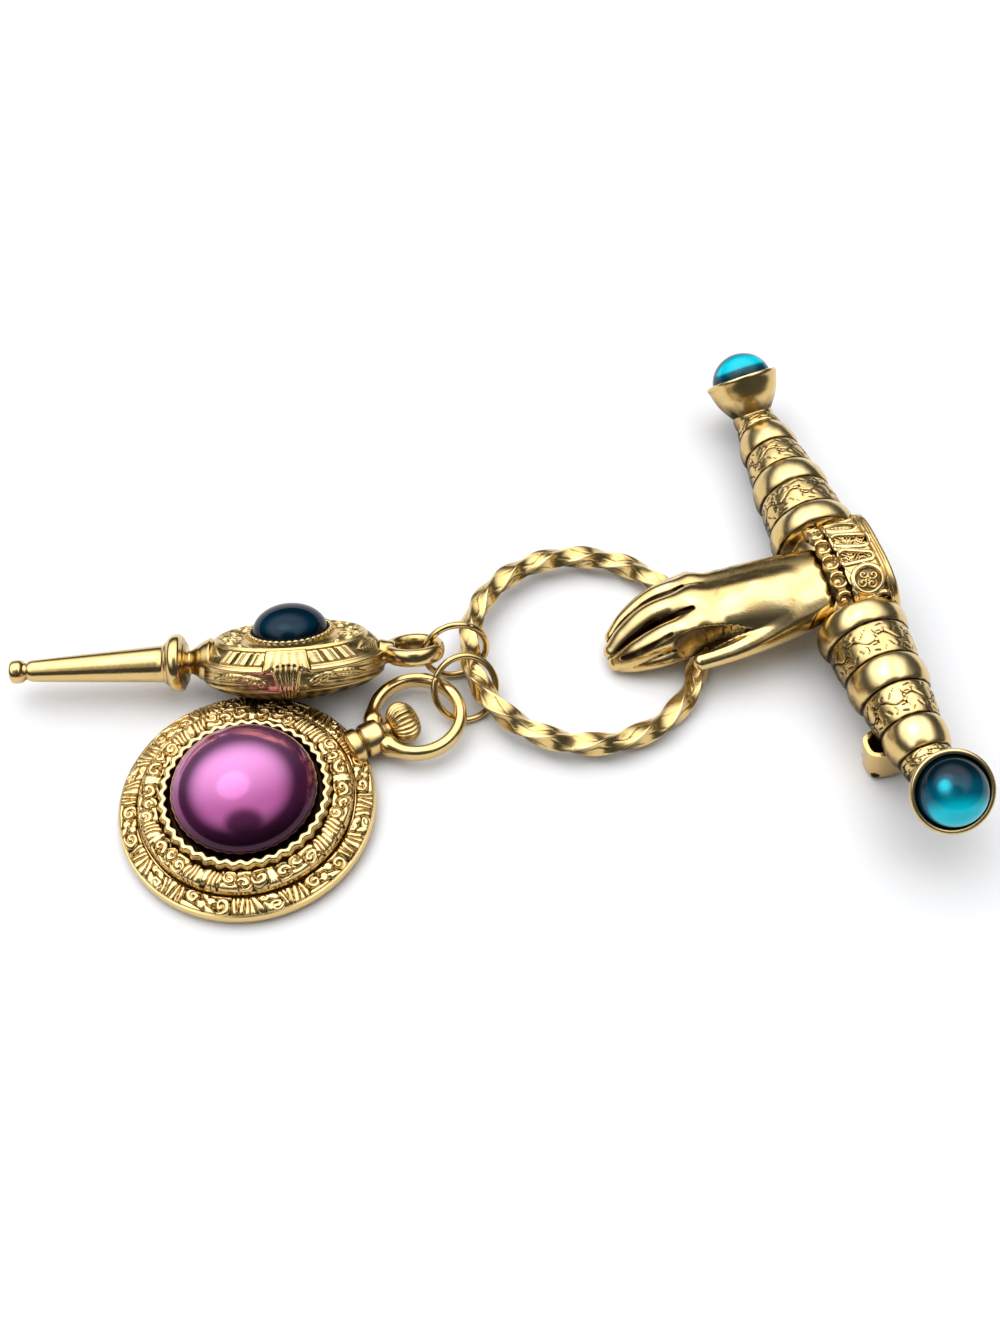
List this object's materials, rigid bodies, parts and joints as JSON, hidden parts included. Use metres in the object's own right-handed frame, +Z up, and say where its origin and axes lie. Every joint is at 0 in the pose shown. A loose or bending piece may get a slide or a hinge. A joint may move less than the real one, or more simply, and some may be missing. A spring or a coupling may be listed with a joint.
{
  "type": "bar brooch with charms",
  "caption": "Antique gold bar brooch with teal cups, a cuffed hand holding a twisted ring, and a key charm and a watch charm on jump rings.",
  "frame": {"origin": "centre of the bounding box in X and Y, on the surface the brooch lies on", "axes": "+X from the tip of the key charm towards the bar, +Y towards the far end of the bar, +Z up from the surface out of the brooch's face"},
  "size_m": [0.1285, 0.0916, 0.0172],
  "materials": {
    "antique_gold": "polished antique gold plate with dark patina in the relief",
    "teal_glass": "polished foil-backed glass",
    "dark_teal_glass": "polished dark glass",
    "purple_glass": "polished foil-backed glass with a metallic sheen"
  },
  "bodies": {
    "root": {"bar": "antique_gold", "hand": "antique_gold", "pin_back": "antique_gold", "near_cabochon": "teal_glass", "far_cabochon": "teal_glass", "twisted_ring": "antique_gold", "key_jump_ring": "antique_gold", "watch_jump_ring": "antique_gold", "key_charm": "antique_gold", "key_cabochon": "dark_teal_glass", "watch_charm": "antique_gold", "watch_cabochon": "purple_glass"}
  },
  "joints": []
}
